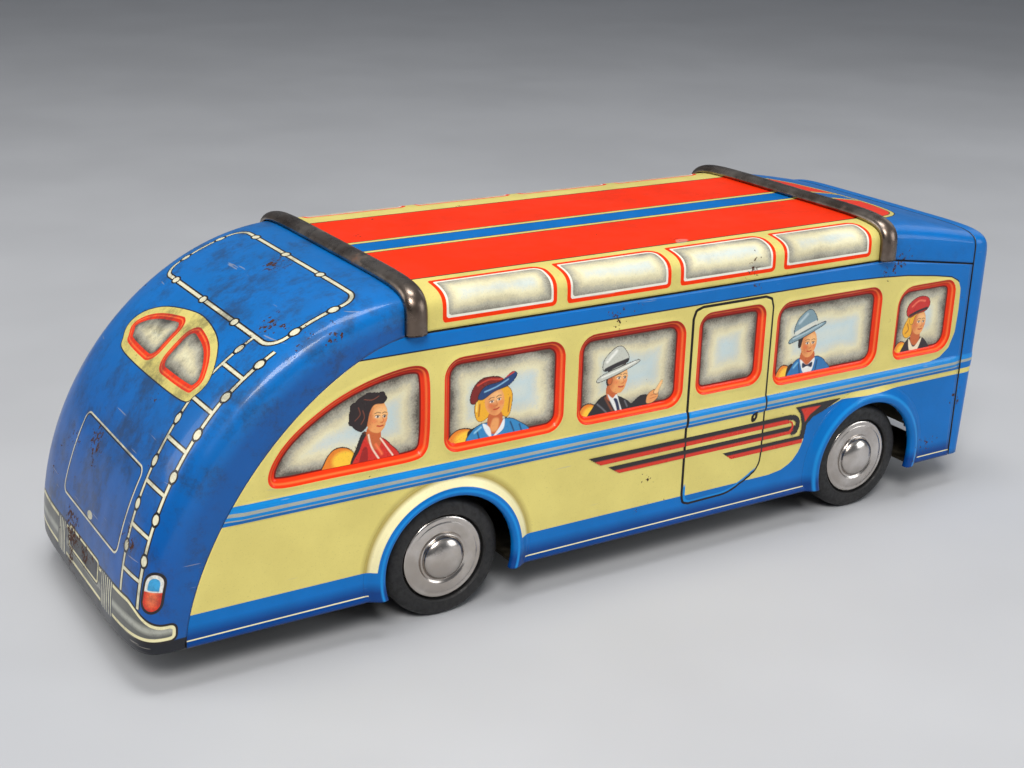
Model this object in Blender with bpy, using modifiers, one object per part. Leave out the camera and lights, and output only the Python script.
"""Tinplate toy coach with a friction drive, one object for each piece of the toy.

Metres, +Z up. The coach points along +X, +Y is its left side, and the origin is on the ground under
the middle of the body. Sizes below are in millimetres and become metres when a mesh is made.
"""

import math

import bmesh
import bpy
import numpy as np
from mathutils import Matrix, Vector

MM = 0.001

# Body
LENGTH = 242.2
WIDTH = 77.0
SHEET = 0.7
HEM_Z = 9.5
SEAM_Z = 69.5
CROWN_Z = 78.6
NOSE_SEAM_Z = 64.5
NOSE_CROWN_Z = 73.4
REAR_SHELL_LENGTH = 63.4
REAR_SHOULDER_LENGTH = 52.7
ROOF_PANEL_LENGTH = 134.8
NOSE_DEPTH = 11.0
NOSE_BOTTOM_TUCK = 0.3
ARCH_FLARE_WIDTH = 3.2
ARCH_FLARE_PROUD = 1.6
SEAM_GAP = 0.5
GAP = 0.3

# Superellipse exponents of the cross-sections and of the two outlines that shape the back
ROOF_EXPONENT = 7.0
TAIL_EXPONENT = 5.0
FRONT_ROOF_EXPONENT = 7.0
NOSE_EXPONENT = 4.2
SHOULDER_LINE_EXPONENT = 1.6
CROWN_LINE_EXPONENT = 1.95

# Half-round bands over the roof joints
BAND_WIDTH = 5.2
BAND_HEIGHT = 2.0

# Wheels and axles
WHEELBASE = 126.0
REAR_OVERHANG = 72.2
TYRE_R = 14.5
TYRE_WIDTH = 9.0
TYRE_BORE_R = 9.2
TYRE_SHOULDER = 1.7
HUBCAP_R = 10.1
HUBCAP_DOME_R = 5.4
HUBCAP_DOME_HEIGHT = 2.2
HUBCAP_SEAT = 1.6
HUBCAP_THICK = 0.5
HUBCAP_RING_RISE = 0.6
HUBCAP_GROOVE = 0.4
AXLE_R = 1.0
ARCH_CLEARANCE = 1.8
WHEEL_INSET = 2.1
TYRE_SIDE_CLEARANCE = 1.6
BORE_CLEARANCE = 0.12
ROUND_STEPS = 32
SHAFT_STEPS = 24

# Base plate
BASE_RISE = 0.9
BASE_THICK = 0.7
MOTOR_OPENING_MARGIN = 3.0

# Friction motor
GEAR_MODULE = 0.5
WHEEL_TEETH = 30
PINION_TEETH = 10
GEAR_WIDTH = 2.4
PINION_WIDTH = 3.2
GEAR_BACKLASH = 0.16
GEAR_TIP_CLEARANCE = 0.3
MOTOR_WIDTH = 20.0
MOTOR_PLATE_THICK = 1.0
MOTOR_PLATE_BORDER = 1.4
LAYSHAFT_RISE = 37.0
FLYWHEEL_RISE = 23.5
STAGE_ONE_Y = 6.5
STAGE_TWO_Y = 1.0
FLYWHEEL_R = 11.5
FLYWHEEL_WIDTH = 5.0
POST_R = 1.6

# Front axle bracket
BRACKET_TO_WHEEL = 6.4
BRACKET_WIDTH = 9.0
BRACKET_SHEET = 0.8
BRACKET_EAR_RISE = 3.2

REAR_X = -LENGTH / 2
FRONT_X = LENGTH / 2
HALF_WIDTH = WIDTH / 2
REAR_JOINT_X = REAR_X + REAR_SHELL_LENGTH
FRONT_JOINT_X = REAR_JOINT_X + ROOF_PANEL_LENGTH
NOSE_SEAM_X = FRONT_X - NOSE_DEPTH
REAR_AXLE_X = REAR_X + REAR_OVERHANG
FRONT_AXLE_X = REAR_AXLE_X + WHEELBASE
AXLE_Z = TYRE_R
ARCH_R = TYRE_R + ARCH_CLEARANCE
BASE_BOTTOM_Z = HEM_Z + BASE_RISE
BASE_TOP_Z = BASE_BOTTOM_Z + BASE_THICK
INNER_HALF_WIDTH = HALF_WIDTH - SHEET - GAP
WHEEL_Y = HALF_WIDTH - WHEEL_INSET - TYRE_WIDTH / 2
WHEEL_INNER_Y = WHEEL_Y - TYRE_WIDTH / 2 - GAP - SHEET
AXLE_HALF_LENGTH = WHEEL_Y + TYRE_WIDTH / 4
SHAFT_BORE_R = AXLE_R + BORE_CLEARANCE
CENTRE_DISTANCE = GEAR_MODULE * (WHEEL_TEETH + PINION_TEETH) / 2
GEAR_R = GEAR_MODULE * WHEEL_TEETH / 2 + GEAR_MODULE
MOTOR_PLATE_Y = MOTOR_WIDTH / 2
MOTOR_OUTER_Y = MOTOR_PLATE_Y + MOTOR_PLATE_THICK


def polar(x, z, distance, degrees):
    """The point at a distance from (x, z), at an angle above +X."""
    angle = math.radians(degrees)
    return x + distance * math.cos(angle), z + distance * math.sin(angle)


LAYSHAFT_X, LAYSHAFT_Z = polar(REAR_AXLE_X, AXLE_Z, CENTRE_DISTANCE, LAYSHAFT_RISE)
FLYWHEEL_X, FLYWHEEL_Z = polar(LAYSHAFT_X, LAYSHAFT_Z, CENTRE_DISTANCE, FLYWHEEL_RISE)


# ---------------------------------------------------------------------------------------- helpers


def clear_scene():
    for obj in list(bpy.data.objects):
        bpy.data.objects.remove(obj, do_unlink=True)


def make_collection(name, helper=False):
    collection = bpy.data.collections.new(name)
    bpy.context.scene.collection.children.link(collection)
    collection.hide_render = helper
    return collection


def make_material(name, colour, roughness, metallic):
    material = bpy.data.materials.new(name)
    material.use_nodes = True
    shader = material.node_tree.nodes["Principled BSDF"]
    shader.inputs["Base Color"].default_value = (*colour, 1.0)
    shader.inputs["Roughness"].default_value = roughness
    shader.inputs["Metallic"].default_value = metallic
    return material


def add_mesh(name, mesh, material, parent=None, collection=None):
    obj = bpy.data.objects.new(name, mesh)
    (collection or COACH).objects.link(obj)
    if material is not None:
        mesh.materials.clear()
        mesh.materials.append(material)
    obj.parent = parent
    return obj


def make_pivot(name, x, z):
    """An empty on an axle's line, which the pieces that turn with it are parented to."""
    pivot = bpy.data.objects.new(name, None)
    pivot.location = (x * MM, 0, z * MM)
    COACH.objects.link(pivot)
    return pivot


def mesh_from(name, points, faces):
    mesh = bpy.data.meshes.new(name)
    mesh.from_pydata((np.asarray(points, float) * MM).tolist(), [], faces)
    mesh.validate()
    return mesh


def smooth(mesh, degrees=35.0):
    mesh.shade_smooth()
    mesh.set_sharp_from_angle(angle=math.radians(degrees))


def grid_faces(rows, columns):
    return [
        (i * columns + j, i * columns + j + 1, (i + 1) * columns + j + 1, (i + 1) * columns + j)
        for i in range(rows - 1)
        for j in range(columns - 1)
    ]


def sheet_from_grid(name, grid, material):
    """A sheet of the tinplate's thickness under an open surface, given as a grid of points."""
    rows, columns, _ = grid.shape
    mesh = mesh_from(name, grid.reshape(-1, 3), grid_faces(rows, columns))
    bm = bmesh.new()
    bm.from_mesh(mesh)
    bmesh.ops.remove_doubles(bm, verts=bm.verts, dist=1e-6)
    bm.to_mesh(mesh)
    bm.free()
    obj = add_mesh(name, mesh, material)
    solidify = obj.modifiers.new("Sheet", "SOLIDIFY")
    solidify.thickness = SHEET * MM
    solidify.offset = -1.0
    solidify.use_even_offset = True
    smooth(mesh)
    return obj


def outline_curve(name, outlines, thickness):
    """A flat plate in the XY plane: the first outline is its edge and the others are holes."""
    curve = bpy.data.curves.new(name, "CURVE")
    curve.dimensions = "2D"
    curve.fill_mode = "BOTH"
    curve.extrude = thickness / 2 * MM
    for outline in outlines:
        spline = curve.splines.new("POLY")
        spline.points.add(len(outline) - 1)
        for point, (x, y) in zip(spline.points, outline):
            point.co = (x * MM, y * MM, 0, 1)
        spline.use_cyclic_u = True
    return curve


def add_curve(name, curve, material, location, rotation=(0, 0, 0), parent=None):
    obj = bpy.data.objects.new(name, curve)
    COACH.objects.link(obj)
    curve.materials.append(material)
    obj.location = Vector(location) * MM
    obj.rotation_euler = rotation
    obj.parent = parent
    return obj


def mesh_of_curve(obj):
    """Replaces a curve object by a mesh object with its caps welded, so that it can take a Boolean."""
    bpy.context.view_layer.update()
    graph = bpy.context.evaluated_depsgraph_get()
    mesh = bpy.data.meshes.new_from_object(obj.evaluated_get(graph))
    bm = bmesh.new()
    bm.from_mesh(mesh)
    bmesh.ops.remove_doubles(bm, verts=bm.verts, dist=1e-6)
    bm.to_mesh(mesh)
    bm.free()
    name = obj.name
    world = obj.matrix_world.copy()
    bpy.data.objects.remove(obj)
    made = add_mesh(name, mesh, None)
    made.matrix_world = world
    return made


def boolean(obj, other, operation):
    modifier = obj.modifiers.new(other.name, "BOOLEAN")
    modifier.operation = operation
    modifier.object = other
    return modifier


def as_helper(obj):
    for collection in list(obj.users_collection):
        collection.objects.unlink(obj)
    CUTTERS.objects.link(obj)
    obj.hide_render = True
    obj.display_type = "WIRE"
    return obj


def arc(cx, cy, radius, start, end, steps):
    """Points on a circle, from one angle to another, in degrees."""
    angles = np.radians(np.linspace(start, end, steps + 1))
    return [(cx + radius * math.cos(a), cy + radius * math.sin(a)) for a in angles]


def circle(cx, cy, radius, steps=SHAFT_STEPS):
    return arc(cx, cy, radius, 0, 360, steps)[:-1]


def upright(x, y, z):
    """Location and rotation that stand an XY outline up in the XZ plane."""
    return {"location": (x, y, z), "rotation": (math.pi / 2, 0, 0)}


def add_shaft(name, radius, low_y, high_y, material, parent):
    """A round bar along Y, centred on its parent's axis."""
    bm = bmesh.new()
    turn = Matrix.Rotation(math.pi / 2, 4, "X")
    bmesh.ops.create_cone(
        bm,
        cap_ends=True,
        segments=SHAFT_STEPS,
        radius1=radius * MM,
        radius2=radius * MM,
        depth=(high_y - low_y) * MM,
        matrix=Matrix.Translation((0, (low_y + high_y) / 2 * MM, 0)) @ turn,
    )
    mesh = bpy.data.meshes.new(name)
    bm.to_mesh(mesh)
    bm.free()
    smooth(mesh)
    return add_mesh(name, mesh, material, parent)


def turned_mesh(name, profile, closed=False):
    """A wire profile in the XZ plane, (radius, height) from top to bottom, for a Screw modifier."""
    points = [(radius, 0, height) for radius, height in profile]
    mesh = bpy.data.meshes.new(name)
    edges = [(i, i + 1) for i in range(len(points) - 1)]
    if closed:
        edges.append((len(points) - 1, 0))
    mesh.from_pydata((np.array(points) * MM).tolist(), edges, [])
    return mesh


def add_turned(name, mesh, material, y, side, parent):
    """A turned piece whose profile's top faces outward, to the left (side 1) or the right (side -1)."""
    obj = add_mesh(name, mesh, material, parent)
    obj.location = (0, y * MM, 0)
    obj.rotation_euler = (-side * math.pi / 2, 0, 0)
    screw = obj.modifiers.new("Turn", "SCREW")
    screw.steps = ROUND_STEPS
    screw.render_steps = ROUND_STEPS
    screw.use_merge_vertices = True
    screw.merge_threshold = 1e-6
    screw.use_smooth_shade = True
    return obj


# ------------------------------------------------------------------------------------- body shape


def quarter(angle, exponent):
    """Superellipse quarter as (across, up): (1, 0) at angle 0 and (0, 1) at a right angle."""
    across = np.clip(np.cos(angle), 0.0, 1.0) ** (2.0 / exponent)
    up = np.clip(np.sin(angle), 0.0, 1.0) ** (2.0 / exponent)
    return across, up


def section_angles(steps=10):
    """Angles across a section, right foot to crown to left foot, and the side of each point."""
    half = np.linspace(0.0, math.pi / 2, steps + 1)
    angles = np.concatenate([half, half[-2::-1]])
    sides = np.concatenate([-np.ones(steps), [0.0], np.ones(steps)])
    return angles, sides


def arch_section(foot, crown, exponent):
    """Points over the roof, from a right foot at (x, z) over a crown at (x, z) to the left foot."""
    angles, sides = section_angles()
    across, up = quarter(angles, exponent)
    points = np.empty((len(angles), 3))
    points[:, 0] = foot[0] + (crown[0] - foot[0]) * up
    points[:, 1] = sides * HALF_WIDTH * across
    points[:, 2] = foot[1] + (crown[1] - foot[1]) * up
    return points


def shoulder_line(share):
    """Where the rounded tail meets the flat side: 0 at the roof joint, 1 at the hem."""
    up, back = quarter(share * math.pi / 2, SHOULDER_LINE_EXPONENT)
    return (
        REAR_JOINT_X - REAR_SHOULDER_LENGTH * back,
        HEM_Z + (SEAM_Z - HEM_Z) * up,
    )


def crown_line(share):
    """The tail's middle line, from the roof joint down to the hem."""
    up, back = quarter(share * math.pi / 2, CROWN_LINE_EXPONENT)
    return REAR_JOINT_X - REAR_SHELL_LENGTH * back, HEM_Z + (CROWN_Z - HEM_Z) * up


def make_rear_shell():
    shares = np.linspace(0.0, 1.0, 21)
    rows = [
        arch_section(
            shoulder_line(share),
            crown_line(share),
            ROOF_EXPONENT + (TAIL_EXPONENT - ROOF_EXPONENT) * share,
        )
        for share in shares
    ]
    grid = np.array(rows)
    grid[:, :, 0] -= GAP / 2
    return sheet_from_grid("rear_shell", grid, BLUE_TIN)


def make_roof_panel():
    rows = [
        arch_section((x, SEAM_Z + GAP), (x, CROWN_Z), ROOF_EXPONENT)
        for x in (FRONT_JOINT_X - GAP / 2, REAR_JOINT_X + GAP / 2)
    ]
    return sheet_from_grid("roof_panel", np.array(rows), RED_TIN)


def front_roof_section(share):
    """The front roof narrows in height towards the nose, and its shoulder sharpens."""
    x = FRONT_JOINT_X + (NOSE_SEAM_X - FRONT_JOINT_X) * share
    foot_z = SEAM_Z + (NOSE_SEAM_Z - SEAM_Z) * share
    crown_z = CROWN_Z + (NOSE_CROWN_Z - CROWN_Z) * share**1.4
    exponent = ROOF_EXPONENT + (FRONT_ROOF_EXPONENT - ROOF_EXPONENT) * share
    return x, foot_z, crown_z, exponent


def make_front_roof():
    rows = []
    for share in np.linspace(1.0, 0.0, 9):
        x, foot_z, crown_z, exponent = front_roof_section(share)
        x += GAP / 2 * (1 - share) - SEAM_GAP / 2 * share
        rows.append(arch_section((x, foot_z + GAP), (x, crown_z), exponent))
    return sheet_from_grid("front_roof", np.array(rows), BLUE_TIN)


def make_nose_shell():
    """A pillow over the nose seam's outline: each ring is that outline drawn in towards the hem."""
    x, foot_z, crown_z, exponent = front_roof_section(1.0)
    arch = arch_section((x, foot_z), (x, crown_z), exponent)[:, 1:]
    rise = np.linspace(HEM_Z, foot_z, 7)[:-1]
    right = np.column_stack([np.full(len(rise), -HALF_WIDTH), rise])
    left = np.column_stack([np.full(len(rise), HALF_WIDTH), rise])[::-1]
    outline = np.concatenate([right, arch, left])
    middle = np.array([0.0, HEM_Z])
    rows = []
    for angle in np.radians([0.0, 1.5, 6.0, 14.0, 26.0, 42.0, 62.0, 90.0]):
        drawn, deep = quarter(angle, NOSE_EXPONENT)
        ring = middle + (outline - middle) * drawn
        low = np.clip((foot_z - ring[:, 1]) / (foot_z - HEM_Z), 0.0, 1.0)
        depth = (NOSE_DEPTH - SEAM_GAP / 2) * deep * (1 - NOSE_BOTTOM_TUCK * low**2)
        rows.append(np.column_stack([NOSE_SEAM_X + SEAM_GAP / 2 + depth, ring]))
    return sheet_from_grid("nose_shell", np.array(rows)[::-1], BLUE_TIN)


def side_outline():
    """The side sheet's edge in X and Z: tail shoulder, roof seam, nose seam, hem and wheel arches."""
    points = []
    for share in np.linspace(1.0, 0.0, 25)[:-1]:
        x, z = shoulder_line(share)
        points.append((x + GAP * math.sin(share * math.pi / 2) ** 0.5, z))
    points.append((REAR_JOINT_X, SEAM_Z - GAP))
    points.append((FRONT_JOINT_X, SEAM_Z))
    points.append((NOSE_SEAM_X - SEAM_GAP / 2, NOSE_SEAM_Z))
    points.append((NOSE_SEAM_X - SEAM_GAP / 2, HEM_Z))
    dip = math.degrees(math.asin((AXLE_Z - HEM_Z) / ARCH_R))
    for axle_x in (FRONT_AXLE_X, REAR_AXLE_X):
        points += arc(axle_x, AXLE_Z, ARCH_R, -dip, 180 + dip, 22)
    return points


def arch_rim_outline(axle_x):
    dip = math.degrees(math.asin((AXLE_Z - HEM_Z) / ARCH_R))
    outer_r = ARCH_R + ARCH_FLARE_WIDTH
    outer_dip = math.degrees(math.asin((AXLE_Z - HEM_Z) / outer_r))
    inner = arc(axle_x, AXLE_Z, ARCH_R, 180 + dip, -dip, 22)
    outer = arc(axle_x, AXLE_Z, outer_r, -outer_dip, 180 + outer_dip, 22)
    return inner + outer


def make_side_panel(name, side):
    """A flat side sheet with a raised flare round each wheel arch. Side is -1 right, 1 left."""
    sheet_y = side * (HALF_WIDTH - SHEET / 2)
    panel = mesh_of_curve(
        add_curve(name, outline_curve(name, [side_outline()], SHEET), BLUE_TIN, **upright(0, sheet_y, 0))
    )
    rim_inner_y = HALF_WIDTH - SHEET / 2
    rim_outer_y = HALF_WIDTH + ARCH_FLARE_PROUD
    for label, axle_x in (("rear", REAR_AXLE_X), ("front", FRONT_AXLE_X)):
        rim_name = f"{name}_{label}_rim"
        curve = outline_curve(rim_name, [arch_rim_outline(axle_x)], rim_outer_y - rim_inner_y)
        rim_y = side * (rim_inner_y + rim_outer_y) / 2
        rim = mesh_of_curve(add_curve(rim_name, curve, BLUE_TIN, **upright(0, rim_y, 0)))
        boolean(panel, as_helper(rim), "UNION")
    return panel


def make_roof_band(name, joint_x):
    """A half-round strip bent over the roof joint, from seam to seam, standing just off the sheet."""
    centre = arch_section((joint_x, SEAM_Z + GAP), (joint_x, CROWN_Z), ROOF_EXPONENT)
    tangent = np.gradient(centre, axis=0)
    tangent /= np.linalg.norm(tangent, axis=1)[:, None]
    tangent[0] = (0, 0, 1)
    tangent[-1] = (0, 0, -1)
    outward = np.cross(tangent, (-1.0, 0.0, 0.0))
    round_angles = np.linspace(0.0, math.pi, 8)
    rows = []
    for angle in round_angles:
        aside = np.array([math.cos(angle) * BAND_WIDTH / 2, 0.0, 0.0])
        rows.append(centre + aside + outward * (GAP + math.sin(angle) * BAND_HEIGHT))
    grid = np.array(rows)
    count, columns, _ = grid.shape
    faces = grid_faces(count, columns)
    faces += [
        (j, (count - 1) * columns + j, (count - 1) * columns + j + 1, j + 1)
        for j in range(columns - 1)
    ]
    faces.append(tuple(i * columns for i in range(count)))
    faces.append(tuple(i * columns + columns - 1 for i in reversed(range(count))))
    mesh = mesh_from(name, grid.reshape(-1, 3), faces)
    bm = bmesh.new()
    bm.from_mesh(mesh)
    bmesh.ops.recalc_face_normals(bm, faces=bm.faces)
    bm.to_mesh(mesh)
    bm.free()
    smooth(mesh)
    return add_mesh(name, mesh, NICKEL)


# ---------------------------------------------------------------------------------- base and axles


def make_base_plate():
    """The underside sheet: notches for the four wheels and an opening under the motor's gears."""
    notch_y = WHEEL_Y - TYRE_WIDTH / 2 - TYRE_SIDE_CLEARANCE
    rear_x = REAR_JOINT_X - REAR_SHOULDER_LENGTH + SHEET + GAP
    front_x = NOSE_SEAM_X - SEAM_GAP
    edge = INNER_HALF_WIDTH
    right_side = [(rear_x, -edge)]
    for axle_x in (REAR_AXLE_X, FRONT_AXLE_X):
        right_side += [
            (axle_x - ARCH_R, -edge),
            (axle_x - ARCH_R, -notch_y),
            (axle_x + ARCH_R, -notch_y),
            (axle_x + ARCH_R, -edge),
        ]
    right_side.append((front_x, -edge))
    outline = right_side + [(x, -y) for x, y in reversed(right_side)]
    gear_half = GEAR_R + GEAR_TIP_CLEARANCE + MOTOR_OPENING_MARGIN
    opening_y = MOTOR_PLATE_Y - GAP
    opening = [
        (REAR_AXLE_X - gear_half, -opening_y),
        (REAR_AXLE_X - gear_half, opening_y),
        (REAR_AXLE_X + gear_half, opening_y),
        (REAR_AXLE_X + gear_half, -opening_y),
    ]
    curve = outline_curve("base_plate", [outline, opening], BASE_THICK)
    middle_z = (BASE_BOTTOM_Z + BASE_TOP_Z) / 2
    return add_curve("base_plate", curve, STEEL, (0, 0, middle_z))


def make_front_bracket():
    """A strip folded up at both ends, whose ears carry the front axle."""
    outer = WHEEL_INNER_Y - BRACKET_TO_WHEEL
    inner = outer - BRACKET_SHEET
    foot_z = BASE_TOP_Z + GAP
    floor_z = foot_z + BRACKET_SHEET
    ear_z = AXLE_Z + BRACKET_EAR_RISE
    outline = [
        (-outer, foot_z),
        (outer, foot_z),
        (outer, ear_z),
        (inner, ear_z),
        (inner, floor_z),
        (-inner, floor_z),
        (-inner, ear_z),
        (-outer, ear_z),
    ]
    curve = outline_curve("front_axle_bracket", [outline], BRACKET_WIDTH)
    turn = (math.pi / 2, 0, math.pi / 2)
    bracket = mesh_of_curve(
        add_curve("front_axle_bracket", curve, STEEL, (FRONT_AXLE_X, 0, 0), turn)
    )
    cutter = add_shaft("front_axle_bores", SHAFT_BORE_R, -HALF_WIDTH, HALF_WIDTH, None, None)
    cutter.location = (FRONT_AXLE_X * MM, 0, AXLE_Z * MM)
    boolean(bracket, as_helper(cutter), "DIFFERENCE")
    return bracket


def tyre_profile():
    """Closed profile of the rubber ring: bore, the recess that the hubcap seats in, and the tread."""
    half = TYRE_WIDTH / 2
    recess_r = HUBCAP_R + GAP
    recess = half - HUBCAP_SEAT
    bulge = [
        (TYRE_R - TYRE_SHOULDER * (1 - math.sin(a)), half - TYRE_SHOULDER * (1 - math.cos(a)))
        for a in np.radians([0, 30, 60, 90])
    ]
    outer = [(recess_r, recess), (recess_r, half)] + bulge
    back = [(radius, -height) for radius, height in reversed(bulge)] + [(TYRE_BORE_R, -half)]
    return [(TYRE_BORE_R, recess)] + outer + back


def hubcap_profile():
    """The plated cap from the middle of its dome out to its flange, then back along its rear face."""
    seat = TYRE_WIDTH / 2 - HUBCAP_SEAT + GAP
    face = seat + HUBCAP_THICK + HUBCAP_RING_RISE
    groove = face - HUBCAP_GROOVE
    groove_r = HUBCAP_DOME_R + HUBCAP_GROOVE
    dome = [
        (HUBCAP_DOME_R * math.sin(a), groove + HUBCAP_DOME_HEIGHT * math.cos(a))
        for a in np.radians([0, 22, 45, 68, 90])
    ]
    rim = [(groove_r, groove), (groove_r + HUBCAP_GROOVE, face), (HUBCAP_R - HUBCAP_RING_RISE, face)]
    rim += [(HUBCAP_R, face - HUBCAP_THICK), (HUBCAP_R, seat)]
    return dome + rim + [(0.0, seat)]


def core_profile():
    """The wheel's inner spool: a drum inside the tyre with a flange behind it, bored for the axle."""
    half = TYRE_WIDTH / 2
    drum_r = TYRE_BORE_R - GAP
    front = half - HUBCAP_SEAT
    flange = half + GAP
    return [
        (SHAFT_BORE_R, front),
        (drum_r, front),
        (drum_r, -flange),
        (HUBCAP_R, -flange),
        (HUBCAP_R, -flange - SHEET),
        (SHAFT_BORE_R, -flange - SHEET),
    ]


def make_wheels(pivot, where):
    tyre = turned_mesh("tyre_profile", tyre_profile(), closed=True)
    cap = turned_mesh("hubcap_profile", hubcap_profile())
    core = turned_mesh("core_profile", core_profile(), closed=True)
    for label, side in (("right", -1), ("left", 1)):
        name = f"{where}_{label}"
        y = side * WHEEL_Y
        add_turned(f"tyre_{name}", tyre.copy(), RUBBER, y, side, pivot)
        add_turned(f"hubcap_{name}", cap.copy(), NICKEL, y, side, pivot)
        add_turned(f"wheel_core_{name}", core.copy(), STEEL, y, side, pivot)


def make_axle(name, pivot):
    return add_shaft(name, AXLE_R, -AXLE_HALF_LENGTH, AXLE_HALF_LENGTH, STEEL, pivot)


# ------------------------------------------------------------------------------------------- motor


def gear_outline(teeth, phase):
    """Teeth with sloping flanks on the pitch circle. Phase is the angle of a tooth's middle."""
    pitch_r = GEAR_MODULE * teeth / 2
    tip_r = pitch_r + GEAR_MODULE - GEAR_BACKLASH
    root_r = pitch_r - GEAR_MODULE - GEAR_TIP_CLEARANCE * 0.5
    tooth = math.pi * GEAR_MODULE / 2 - GEAR_BACKLASH
    widths = ((root_r, 1.35), (pitch_r, 1.0), (tip_r, 0.5))
    points = []
    for i in range(teeth):
        middle = phase + 2 * math.pi * i / teeth
        flanks = [(radius, share * tooth / 2 / radius) for radius, share in widths]
        for radius, half in flanks:
            points.append((radius * math.cos(middle - half), radius * math.sin(middle - half)))
        for radius, half in reversed(flanks):
            points.append((radius * math.cos(middle + half), radius * math.sin(middle + half)))
    return points


def add_gear(name, teeth, phase, width, y, material, pivot):
    outlines = [gear_outline(teeth, phase), circle(0, 0, SHAFT_BORE_R)]
    curve = outline_curve(name, outlines, width)
    return add_curve(name, curve, material, (0, y, 0), (math.pi / 2, 0, 0), pivot)


def meshing_phases(line_degrees, followed_teeth, follower_teeth, followed_phase):
    """The follower's phase that puts one of its gaps on the followed gear's tooth."""
    line = math.radians(line_degrees)
    followed_step = 2 * math.pi / followed_teeth
    follower_step = 2 * math.pi / follower_teeth
    past = ((line - followed_phase) / followed_step) % 1.0
    return line + math.pi + (past + 0.5) * follower_step


def post_places():
    """The three posts that tie the motor's plates together, each just clear of the gear beside it."""
    pinion_r = GEAR_MODULE * PINION_TEETH / 2 + GEAR_MODULE
    past_gear = GEAR_R + POST_R + 2 * GAP
    past_pinion = pinion_r + POST_R + 3 * GAP
    return {
        "motor_post_rear": polar(REAR_AXLE_X, AXLE_Z, past_gear, 180),
        "motor_post_front": polar(FLYWHEEL_X, FLYWHEEL_Z, past_pinion, -50),
        "motor_post_top": polar(FLYWHEEL_X, FLYWHEEL_Z, past_pinion, 70),
    }


def motor_plate_outline():
    """A plate round the bearings and posts, standing on the base plate."""
    border = POST_R + MOTOR_PLATE_BORDER
    low = BASE_TOP_Z + GAP
    places = post_places()
    rear = places["motor_post_rear"][0] - border
    front = places["motor_post_front"][0] + border
    top = places["motor_post_top"][1] + border
    return [
        (rear, low),
        (front, low),
        (front, top),
        (LAYSHAFT_X, top),
        (rear, AXLE_Z + border),
    ]


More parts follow.
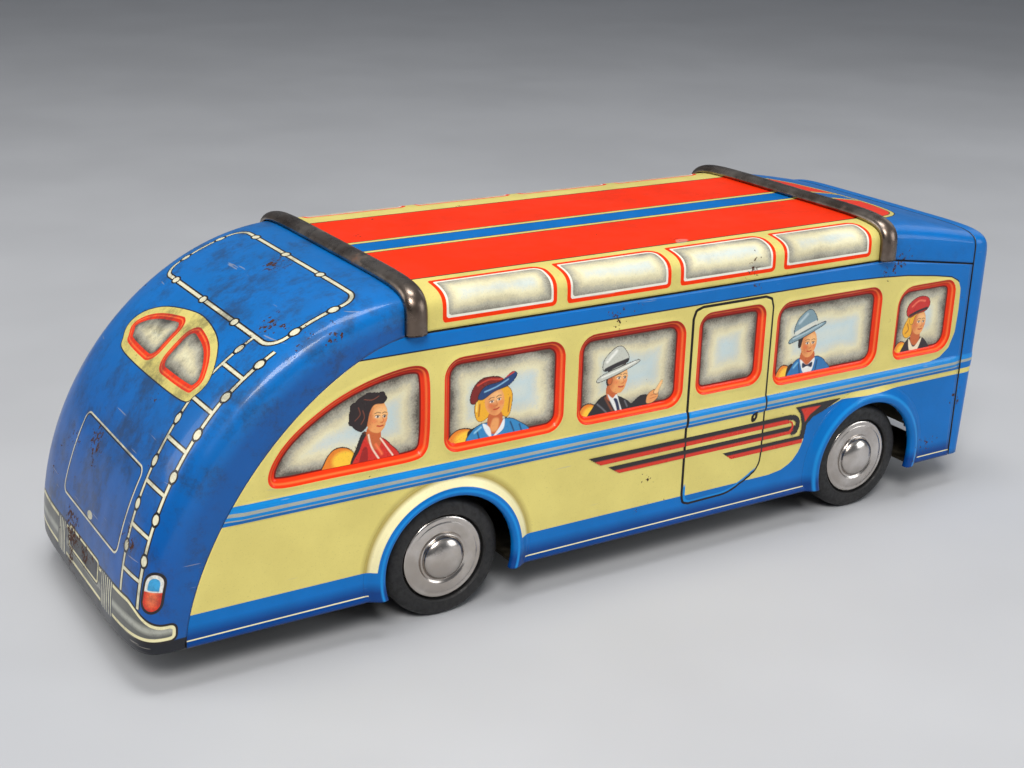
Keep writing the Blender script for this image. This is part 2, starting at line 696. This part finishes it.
def make_motor(rear_pivot, layshaft_pivot, flywheel_pivot):
    centres = (
        (REAR_AXLE_X, AXLE_Z),
        (LAYSHAFT_X, LAYSHAFT_Z),
        (FLYWHEEL_X, FLYWHEEL_Z),
    )
    holes = [circle(x, z, SHAFT_BORE_R) for x, z in centres]
    for name, side in (("motor_plate_right", -1), ("motor_plate_left", 1)):
        curve = outline_curve(name, [motor_plate_outline(), *holes], MOTOR_PLATE_THICK)
        y = side * (MOTOR_PLATE_Y + MOTOR_PLATE_THICK / 2)
        add_curve(name, curve, STEEL, **upright(0, y, 0))
    for name, (x, z) in post_places().items():
        inner = MOTOR_PLATE_Y - GAP
        post = add_shaft(name, POST_R, -inner, inner, STEEL, None)
        post.location = (x * MM, 0, z * MM)

    lay_phase = meshing_phases(LAYSHAFT_RISE, WHEEL_TEETH, PINION_TEETH, 0.0)
    fly_phase = meshing_phases(FLYWHEEL_RISE, WHEEL_TEETH, PINION_TEETH, 0.0)
    add_gear("axle_gear", WHEEL_TEETH, 0.0, GEAR_WIDTH, STAGE_ONE_Y, BRASS, rear_pivot)
    add_gear(
        "layshaft_pinion", PINION_TEETH, lay_phase, PINION_WIDTH, STAGE_ONE_Y, BRASS, layshaft_pivot
    )
    add_gear("layshaft_gear", WHEEL_TEETH, 0.0, GEAR_WIDTH, STAGE_TWO_Y, BRASS, layshaft_pivot)
    add_gear(
        "flywheel_pinion", PINION_TEETH, fly_phase, PINION_WIDTH, STAGE_TWO_Y, BRASS, flywheel_pivot
    )
    plate_reach = MOTOR_OUTER_Y + GAP
    add_shaft("layshaft", AXLE_R, -plate_reach, plate_reach, STEEL, layshaft_pivot)
    fly_near = plate_reach + GAP
    fly_far = fly_near + FLYWHEEL_WIDTH
    add_shaft("flywheel_shaft", AXLE_R, -fly_far, fly_far, STEEL, flywheel_pivot)
    profile = [
        (SHAFT_BORE_R, FLYWHEEL_WIDTH / 2),
        (FLYWHEEL_R, FLYWHEEL_WIDTH / 2),
        (FLYWHEEL_R, -FLYWHEEL_WIDTH / 2),
        (SHAFT_BORE_R, -FLYWHEEL_WIDTH / 2),
    ]
    disc = turned_mesh("flywheel_profile", profile, closed=True)
    middle = (fly_near + fly_far) / 2
    for label, side in (("right", -1), ("left", 1)):
        add_turned(f"flywheel_{label}", disc.copy(), IRON, side * middle, side, flywheel_pivot)


clear_scene()
COACH = make_collection("tin_toy_coach")
CUTTERS = make_collection("cutters", helper=True)
BLUE_TIN = make_material("blue_tin", (0.0, 0.075, 0.42), 0.3, 0.1)
RED_TIN = make_material("red_tin", (0.85, 0.06, 0.02), 0.3, 0.1)
NICKEL = make_material("nickel", (0.6, 0.58, 0.55), 0.25, 1.0)
STEEL = make_material("steel", (0.45, 0.45, 0.46), 0.4, 1.0)
BRASS = make_material("brass", (0.7, 0.5, 0.2), 0.35, 1.0)
IRON = make_material("cast_iron", (0.15, 0.15, 0.16), 0.6, 0.8)
RUBBER = make_material("rubber", (0.02, 0.02, 0.02), 0.7, 0.0)

make_side_panel("side_panel_right", -1)
make_side_panel("side_panel_left", 1)
make_rear_shell()
make_roof_panel()
make_front_roof()
make_nose_shell()
make_roof_band("roof_band_rear", REAR_JOINT_X)
make_roof_band("roof_band_front", FRONT_JOINT_X)
make_base_plate()
make_front_bracket()
FRONT_PIVOT = make_pivot("front_axle_pivot", FRONT_AXLE_X, AXLE_Z)
REAR_PIVOT = make_pivot("rear_axle_pivot", REAR_AXLE_X, AXLE_Z)
LAYSHAFT_PIVOT = make_pivot("layshaft_pivot", LAYSHAFT_X, LAYSHAFT_Z)
FLYWHEEL_PIVOT = make_pivot("flywheel_pivot", FLYWHEEL_X, FLYWHEEL_Z)
make_axle("front_axle", FRONT_PIVOT)
make_axle("rear_axle", REAR_PIVOT)
make_wheels(FRONT_PIVOT, "front")
make_wheels(REAR_PIVOT, "rear")
make_motor(REAR_PIVOT, LAYSHAFT_PIVOT, FLYWHEEL_PIVOT)
